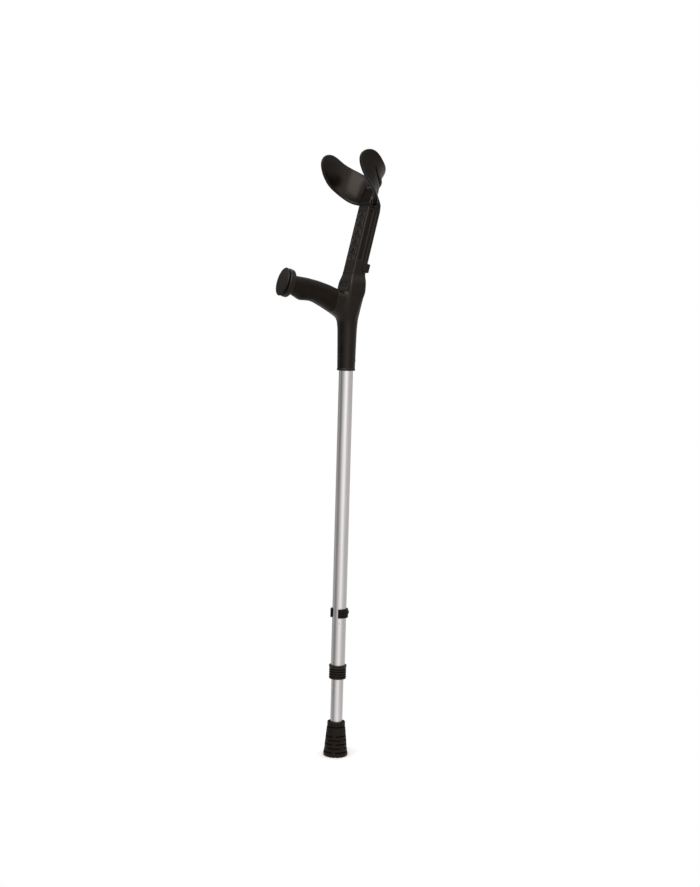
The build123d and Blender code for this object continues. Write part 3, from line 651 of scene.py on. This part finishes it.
def ferrule_field(x, y, z):
    """The tapered foot with broken ribs, a rim and a grooved tread."""
    rho = np.hypot(x, y)
    turn = np.arctan2(y, x)
    wall = (rho - np.interp(z, FERRULE_Z, FERRULE_RADIUS)) * 0.97
    body = meet(wall, slab(z, 0.0, 54.5), 1.0)
    for i, (level, radius) in enumerate(RIB_GROOVES):
        wave = np.cos(4 * turn + i * math.pi)
        broken = smooth_step(wave, -0.95, -0.75)
        groove = np.hypot((rho - radius) / 1.7, z - level) - 1.15 * broken + (1 - broken) * 0.9
        body = cut(body, groove, 0.4)
    body = cut(body, np.hypot((rho - 14.7) / 1.6, z - 47.0) - 1.1, 0.4)
    body = join(body, box2(rho - 13.1, z - 53.2, 0.9, 1.2, 0.6), 0.6)
    body = cut(body, np.maximum(rho - 9.5, 7.4 - z), 0.5)
    for radius in (6.0, 10.0, 14.0):
        body = cut(body, box2(rho - radius, z, 0.8, 2.0, 0.3), 0.3)
    notch = np.abs(np.mod(turn, math.pi / 8) - math.pi / 16) * 16.0 - 0.7
    notch = np.maximum(notch, np.maximum(15.6 - rho, z - 1.6))
    return cut(body, notch, 0.3)


COLLAR_OUTER = 13.5
COLLAR_PROFILE = [
    (9.85, 123.4), (12.4, 123.4), (13.0, 123.6), (13.4, 124.1), (13.5, 124.8), (13.5, 126.4),
    (12.95, 126.8), (12.8, 127.5), (12.95, 128.2), (13.5, 128.6), (13.5, 130.2),
    (12.95, 130.6), (12.8, 131.4), (12.95, 132.1), (13.5, 132.5), (13.5, 134.1),
    (12.95, 134.5), (12.8, 135.3), (12.95, 136.0), (13.5, 136.4), (13.5, 138.0),
    (12.95, 138.4), (12.8, 139.2), (12.95, 139.9), (13.5, 140.3), (13.5, 142.4),
    (13.85, 142.8), (13.9, 143.4), (13.9, 144.5), (13.75, 145.0), (13.4, 145.2),
    (12.1, 145.1), (12.0, 144.8), (12.0, 131.0), (11.05, 125.0), (9.85, 125.0),
]


# ---------------------------------------------------------------- materials
WARM_GLOSS = (1.0, 0.87, 0.77, 1)
# How far rubbed edges are lifted lighter; part of the lift is a painted edge highlight.
RUB_AND_HIGHLIGHT_LIFT = 2.4
SCORED_RING_Z = 0.2125
SCORED_RING_HALF = 0.0007


def new_material(name, metallic=0.0, roughness=0.5, gloss=0.5):
    """A material with one Principled shader; weak gloss is tinted warm."""
    material = bpy.data.materials.new(name)
    material.use_nodes = True
    shader = material.node_tree.nodes["Principled BSDF"]
    shader.inputs["Metallic"].default_value = metallic
    shader.inputs["Roughness"].default_value = roughness
    shader.inputs["Specular IOR Level"].default_value = gloss
    if gloss < 0.5:
        shader.inputs["Specular Tint"].default_value = WARM_GLOSS
    return material, material.node_tree, shader


def node(tree, kind, **values):
    """A new shader node with these properties."""
    made = tree.nodes.new(kind)
    for key, value in values.items():
        setattr(made, key, value)
    return made


def noise(tree, source, scale, detail=3.0, stretch=(1, 1, 1)):
    """Noise in object space; scale is per metre."""
    mapping = node(tree, "ShaderNodeMapping")
    mapping.inputs["Scale"].default_value = stretch
    tree.links.new(source, mapping.inputs["Vector"])
    texture = node(tree, "ShaderNodeTexNoise")
    texture.inputs["Scale"].default_value = scale
    texture.inputs["Detail"].default_value = detail
    tree.links.new(mapping.outputs["Vector"], texture.inputs["Vector"])
    return texture.outputs["Fac"]


def spread(tree, source, low, high, from_low=0.3, from_high=0.7):
    """Map a noise value onto a range."""
    ranged = node(tree, "ShaderNodeMapRange")
    ranged.inputs["From Min"].default_value = from_low
    ranged.inputs["From Max"].default_value = from_high
    ranged.inputs["To Min"].default_value = low
    ranged.inputs["To Max"].default_value = high
    tree.links.new(source, ranged.inputs["Value"])
    return ranged.outputs["Result"]


def mix_color(tree, factor, first, second):
    """From the first colour to the second as the factor rises."""
    mix = node(tree, "ShaderNodeMix", data_type="RGBA")
    mix.inputs["A"].default_value = (*first, 1)
    mix.inputs["B"].default_value = (*second, 1)
    tree.links.new(factor, mix.inputs["Factor"])
    return mix.outputs["Result"]


def bump(tree, shader, heights):
    """Stacked bumps from (height, strength, distance)."""
    normal = None
    for height, strength, distance in heights:
        made = node(tree, "ShaderNodeBump")
        made.inputs["Strength"].default_value = strength
        made.inputs["Distance"].default_value = distance
        tree.links.new(height, made.inputs["Height"])
        if normal:
            tree.links.new(normal, made.inputs["Normal"])
        normal = made.outputs["Normal"]
    tree.links.new(normal, shader.inputs["Normal"])


def coordinates(tree):
    """Positions in object space."""
    return node(tree, "ShaderNodeTexCoord").outputs["Object"]


def plastic(name, dark, light, rough, grain, grain_strength, gloss):
    """Moulded plastic or rubber with a fine grain and uneven gloss; convex edges are lifted lighter,
    partly rubbed and partly a painted edge highlight, and groove floors are made rough and nearly
    glossless, which paints shade into them.
    """
    material, tree, shader = new_material(name, gloss=gloss)
    place = coordinates(tree)
    cloud = noise(tree, place, 60.0)
    fine = noise(tree, place, grain, 2.0)
    ripple = noise(tree, place, 230.0, 1.0)
    body = mix_color(tree, spread(tree, cloud, 0.0, 1.0), dark, light)
    # Convex edges, found by pointiness and broken up by noise, go lighter: partly rubbed plastic, partly a
    # painted edge highlight.
    rub_and_highlight = node(tree, "ShaderNodeMath", operation="MULTIPLY", use_clamp=True)
    edge = node(tree, "ShaderNodeNewGeometry").outputs["Pointiness"]
    tree.links.new(spread(tree, edge, 0.0, 1.0, 0.53, 0.62), rub_and_highlight.inputs[0])
    tree.links.new(spread(tree, noise(tree, place, 420.0), 0.0, 0.55, 0.45, 0.65), rub_and_highlight.inputs[1])
    rubbed_and_highlit = node(tree, "ShaderNodeMix", data_type="RGBA")
    tree.links.new(rub_and_highlight.outputs[0], rubbed_and_highlit.inputs["Factor"])
    tree.links.new(body, rubbed_and_highlit.inputs["A"])
    rubbed_and_highlit.inputs["B"].default_value = (*(level * RUB_AND_HIGHLIGHT_LIFT for level in light), 1)
    tree.links.new(rubbed_and_highlit.outputs["Result"], shader.inputs["Base Color"])
    # Painted shade: the recess attribute roughens groove floors and turns their gloss down to a
    # twenty-fifth, so they come out dark.
    recess = node(tree, "ShaderNodeAttribute", attribute_name="recess").outputs["Fac"]
    dull = node(tree, "ShaderNodeMath", operation="ADD")
    tree.links.new(spread(tree, cloud, *rough), dull.inputs[0])
    tree.links.new(spread(tree, recess, 0.0, 0.4, 0.0, 1.0), dull.inputs[1])
    tree.links.new(dull.outputs[0], shader.inputs["Roughness"])
    groove_shade_gloss = spread(tree, recess, gloss, 0.04 * gloss, 0.0, 1.0)
    tree.links.new(groove_shade_gloss, shader.inputs["Specular IOR Level"])
    bump(tree, shader, [(ripple, 0.10, 0.0004), (fine, grain_strength, 0.0001)])
    return material


def anodised(name, ring_z=None):
    """Drawn and anodised aluminium: faint lengthwise lines, soft gloss, and perhaps one scored ring."""
    material, tree, shader = new_material(name, metallic=1.0)
    place = coordinates(tree)
    lines = noise(tree, place, 900.0, 2.0, (1, 1, 0.012))
    cloud = noise(tree, place, 25.0, 2.0, (1, 1, 0.3))
    tint = mix_color(tree, spread(tree, lines, 0.0, 1.0), (0.735, 0.705, 0.70), (0.815, 0.785, 0.78))
    tree.links.new(tint, shader.inputs["Base Color"])
    mixed = node(tree, "ShaderNodeMath", operation="ADD")
    tree.links.new(spread(tree, lines, 0.20, 0.30), mixed.inputs[0])
    tree.links.new(spread(tree, cloud, 0.0, 0.06), mixed.inputs[1])
    tree.links.new(mixed.outputs[0], shader.inputs["Roughness"])
    heights = [(lines, 0.12, 0.00003)]
    if ring_z is not None:
        split = node(tree, "ShaderNodeSeparateXYZ")
        tree.links.new(place, split.inputs["Vector"])
        near = node(tree, "ShaderNodeMath", operation="COMPARE")
        tree.links.new(split.outputs["Z"], near.inputs[0])
        near.inputs[1].default_value = ring_z
        near.inputs[2].default_value = SCORED_RING_HALF
        heights.append((near.outputs[0], 0.8, 0.0006))
    bump(tree, shader, heights)
    return material


def steel(name):
    """Turned steel pins."""
    material, tree, shader = new_material(name, metallic=1.0)
    place = coordinates(tree)
    rings = noise(tree, place, 1600.0, 2.0, (0.1, 1, 1))
    tint = mix_color(tree, spread(tree, rings, 0.0, 1.0), (0.50, 0.50, 0.51), (0.64, 0.64, 0.65))
    tree.links.new(tint, shader.inputs["Base Color"])
    tree.links.new(spread(tree, rings, 0.26, 0.40), shader.inputs["Roughness"])
    bump(tree, shader, [(rings, 0.15, 0.00004)])
    return material


BLACK = plastic(
    "moulded_black", (0.0036, 0.0025, 0.0017), (0.0052, 0.0037, 0.0026),
    rough=(0.22, 0.32), grain=2400.0, grain_strength=0.20, gloss=0.33,
)
# The cuff's black is a darker copy of the moulded black: painted shade for the cuff's shaded inside,
# spread over the whole cuff.
SHADED_CUFF_BLACK = plastic(
    "moulded_black_cuff", (0.0022, 0.0016, 0.0011), (0.0034, 0.0025, 0.0018),
    rough=(0.22, 0.28), grain=2400.0, grain_strength=0.12, gloss=0.29,
)
GRIP = plastic(
    "grip_soft", (0.0060, 0.0040, 0.0025), (0.0086, 0.0058, 0.0038),
    rough=(0.34, 0.46), grain=1800.0, grain_strength=0.26, gloss=0.13,
)
CLIP = plastic(
    "clip_black", (0.0068, 0.0048, 0.0034), (0.0098, 0.0070, 0.0050),
    rough=(0.32, 0.44), grain=2600.0, grain_strength=0.18, gloss=0.22,
)
RUBBER = plastic(
    "ferrule_rubber", (0.0058, 0.0040, 0.0027), (0.0090, 0.0064, 0.0046),
    rough=(0.44, 0.58), grain=1500.0, grain_strength=0.30, gloss=0.14,
)
BADGE = plastic(
    "badge_satin", (0.0130, 0.0104, 0.0084), (0.0190, 0.0156, 0.0128),
    rough=(0.28, 0.38), grain=2400.0, grain_strength=0.15, gloss=0.30,
)
NYLON = plastic(
    "guide_nylon", (0.46, 0.455, 0.44), (0.54, 0.535, 0.52),
    rough=(0.45, 0.60), grain=1500.0, grain_strength=0.20, gloss=0.5,
)
ALUMINIUM = anodised("anodised_tube")
SCORED_TUBE = anodised("anodised_outer_tube", SCORED_RING_Z)
STEEL = steel("pin_steel")


# ---------------------------------------------------------------- pieces
def place(obj, material, body, slot_name, *nodes):
    """Give a piece its material and body, and hide the CAD nodes it replaces; slot_name is not used."""
    obj.data.materials.append(material)
    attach(obj, body)
    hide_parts(*nodes)
    return obj


handle = solid("handle_shell", handle_field, (-19.0, -125.0, 606.0), (19.0, 46.0, 860.0), 0.8)
place(handle, BLACK, "frame", "black_plastic", "handle_body")
mark_groove_shade(handle, handle_groove_shade)
cover = solid("grip_skin", cover_field, (-17.5, -115.0, 690.0), (17.5, -20.0, 756.0), 0.8)
place(cover, GRIP, "frame", "grip_plastic", "grip_cover")
cap = solid("grip_cap", cap_field, (-19.0, -131.0, 710.0), (19.0, -84.0, 768.0), 0.6)
place(cap, BLACK, "frame", "black_plastic", "grip_end_cap")
mark_groove_shade(cap, cap_groove_shade)
badge = solid("badge_plate", badge_field, (-13.0, -12.0, 728.0), (13.0, -2.0, 747.0), 0.35)
place(badge, BADGE, "frame", "badge_plastic", "badge")

cuff = solid("cuff_shell", cuff_field, (-58.0, -42.0, 706.0), (58.0, 62.0, 964.0), 0.8)
place(cuff, SHADED_CUFF_BLACK, "cuff", "black_plastic", "cuff")
mark_groove_shade(cuff, cuff_crease_shade)
cuff_clip = solid("cuff_clip_part", cuff_clip_field, (-17.0, 10.0, 755.0), (17.0, 35.0, 780.0), 0.4)
place(cuff_clip, CLIP, "cuff_clip", "clip_plastic", "cuff_clip")

height_clip = solid("height_clip_part", height_clip_field, (-14.5, -14.5, 220.0), (14.5, 17.0, 236.0), 0.3)
mark_groove_shade(height_clip, ring_groove_shade(CLIP_OUTER))
height_clip.data.materials.append(CLIP)
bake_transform(height_clip)
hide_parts("height_clip")

collar = lathe("collar_part", COLLAR_PROFILE, 96)
place(collar, CLIP, "collar", "clip_plastic", "anti_rattle_collar")
mark_groove_shade(collar, ring_groove_shade(COLLAR_OUTER))
ferrule = solid("ferrule_part", ferrule_field, (-19.8, -19.8, -0.4), (19.8, 19.8, 55.0), 0.45)
place(ferrule, RUBBER, "lower_leg", "ferrule_rubber", "ferrule")
mark_groove_shade(ferrule, ferrule_groove_shade)

CAD_MATERIALS = {
    "outer_tube": SCORED_TUBE,
    "inner_tube": ALUMINIUM,
    "sleeve_rivets": STEEL,
    "height_clip_pin": STEEL,
    "cuff_clip_pin": STEEL,
    "ferrule_washer": STEEL,
    "collar_bush": NYLON,
    "tube_guide": NYLON,
}
for name, material in CAD_MATERIALS.items():
    for material_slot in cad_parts[name].material_slots:
        material_slot.material = material


# ---------------------------------------------------------------- floor, light and camera
def make_floor():
    """A small pale disc under the ferrule, which takes it down with the leg."""
    rings = 6
    radius = 0.13
    segments = 96
    verts = [(0.0, 0.0, 0.0)]
    for r in range(1, rings + 1):
        for s in range(segments):
            a = 2 * math.pi * s / segments
            verts.append((radius * r / rings * math.cos(a), radius * r / rings * math.sin(a), 0.0))
    faces = [(0, 1 + s, 1 + (s + 1) % segments) for s in range(segments)]
    for r in range(rings - 1):
        for s in range(segments):
            a = 1 + r * segments + s
            b = 1 + r * segments + (s + 1) % segments
            faces.append((a, a + segments, b + segments, b))
    mesh = bpy.data.meshes.new("floor")
    mesh.from_pydata(verts, [], faces)
    obj = bpy.data.objects.new("floor", mesh)
    bpy.context.scene.collection.objects.link(obj)
    material, tree, shader = new_material("floor_pale", roughness=0.9, gloss=0.0)
    shader.inputs["Base Color"].default_value = (0.94, 0.94, 0.94, 1)
    obj.data.materials.append(material)
    obj.parent = ferrule


VIEW_AZIMUTH = math.radians(55.0)
VIEW_SIDE = Vector((math.cos(VIEW_AZIMUTH), math.sin(VIEW_AZIMUTH), 0))
VIEW_BACK = Vector((math.sin(VIEW_AZIMUTH), -math.cos(VIEW_AZIMUTH), 0))


def studio_direction(turn, lift):
    """A direction `turn` degrees to the right of the camera's, seen from the object."""
    a = math.radians(turn)
    e = math.radians(lift)
    flat = VIEW_BACK * math.cos(a) + VIEW_SIDE * math.sin(a)
    return (flat * math.cos(e) + Vector((0, 0, math.sin(e)))).normalized()


AMBIENT = 0.62
# turn and lift of each broad light or dark area of the studio, its tightness and its strength
STUDIO_LOBES = (
    (0.0, 90.0, 1.6, 0.90),
    (13.0, 6.0, 10.0, 0.72),
    (-70.0, 0.0, 7.0, -0.50),
    (165.0, 5.0, 8.0, -0.30),
    (85.0, 5.0, 4.0, -0.12),
    (-134.0, 18.0, 7.0, -0.55),
)


def make_world():
    """White behind the object; around it, soft light and dark areas that it reflects."""
    world = bpy.data.worlds.new("studio")
    bpy.context.scene.world = world
    world.use_nodes = True
    tree = world.node_tree
    tree.nodes.clear()
    direction = node(tree, "ShaderNodeTexCoord").outputs["Generated"]
    level = None
    for turn, lift, power, strength in STUDIO_LOBES:
        dot = node(tree, "ShaderNodeVectorMath", operation="DOT_PRODUCT")
        tree.links.new(direction, dot.inputs[0])
        dot.inputs[1].default_value = studio_direction(turn, lift)
        above = node(tree, "ShaderNodeMath", operation="MAXIMUM")
        tree.links.new(dot.outputs["Value"], above.inputs[0])
        above.inputs[1].default_value = 0.0
        lobe = node(tree, "ShaderNodeMath", operation="POWER")
        tree.links.new(above.outputs[0], lobe.inputs[0])
        lobe.inputs[1].default_value = power
        total = node(tree, "ShaderNodeMath", operation="MULTIPLY_ADD")
        tree.links.new(lobe.outputs[0], total.inputs[0])
        total.inputs[1].default_value = strength
        if level is None:
            total.inputs[2].default_value = AMBIENT
        else:
            tree.links.new(level, total.inputs[2])
        level = total.outputs[0]
    path = node(tree, "ShaderNodeLightPath")
    seen = node(tree, "ShaderNodeMix", data_type="FLOAT")
    tree.links.new(path.outputs["Is Camera Ray"], seen.inputs["Factor"])
    tree.links.new(level, seen.inputs["A"])
    seen.inputs["B"].default_value = 1.0
    background = node(tree, "ShaderNodeBackground")
    background.inputs["Color"].default_value = (1, 1, 1, 1)
    tree.links.new(seen.outputs["Result"], background.inputs["Strength"])
    output = node(tree, "ShaderNodeOutputWorld")
    tree.links.new(background.outputs["Background"], output.inputs["Surface"])


def make_key_light():
    """A large soft box, up on the camera's left."""
    base = Vector((0, 0, 0.75))
    aim = Vector((0, 0, 0.7))
    distance = 2.2
    data = bpy.data.lights.new("key", "AREA")
    data.shape = "RECTANGLE"
    data.size = 1.75
    data.size_y = 1.3
    data.energy = 18.0
    data.color = (1.0, 0.985, 0.965)
    obj = bpy.data.objects.new("key", data)
    obj.location = base + studio_direction(-31.0, 40.0) * distance
    obj.rotation_mode = "QUATERNION"
    obj.rotation_quaternion = (obj.location - aim).to_track_quat("Z", "Y")
    bpy.context.scene.collection.objects.link(obj)


def make_camera():
    """The camera, in metres and degrees: how far off, how high, and how it is turned."""
    distance = 2.2
    height = 0.67808
    pitch = math.radians(4.762)
    yaw = math.radians(0.2453)
    roll = math.radians(1.6174)
    ahead = -VIEW_BACK * math.cos(yaw) + VIEW_SIDE * math.sin(yaw)
    forward = ahead * math.cos(pitch) - Vector((0, 0, math.sin(pitch)))
    right = forward.cross(Vector((0, 0, 1))).normalized()
    up = right.cross(forward)
    rolled_right = right * math.cos(roll) + up * math.sin(roll)
    rolled_up = up * math.cos(roll) - right * math.sin(roll)
    data = bpy.data.cameras.new("camera")
    data.lens = 57.63
    data.sensor_width = 36.0
    obj = bpy.data.objects.new("camera", data)
    turn = Matrix((rolled_right, rolled_up, -forward)).transposed()
    obj.matrix_world = Matrix.Translation(VIEW_BACK * distance + Vector((0, 0, height))) @ turn.to_4x4()
    bpy.context.scene.collection.objects.link(obj)
    bpy.context.scene.camera = obj


make_floor()
make_world()
make_key_light()
make_camera()
bpy.context.scene.view_settings.view_transform = "Standard"
bpy.context.scene.view_settings.look = "None"
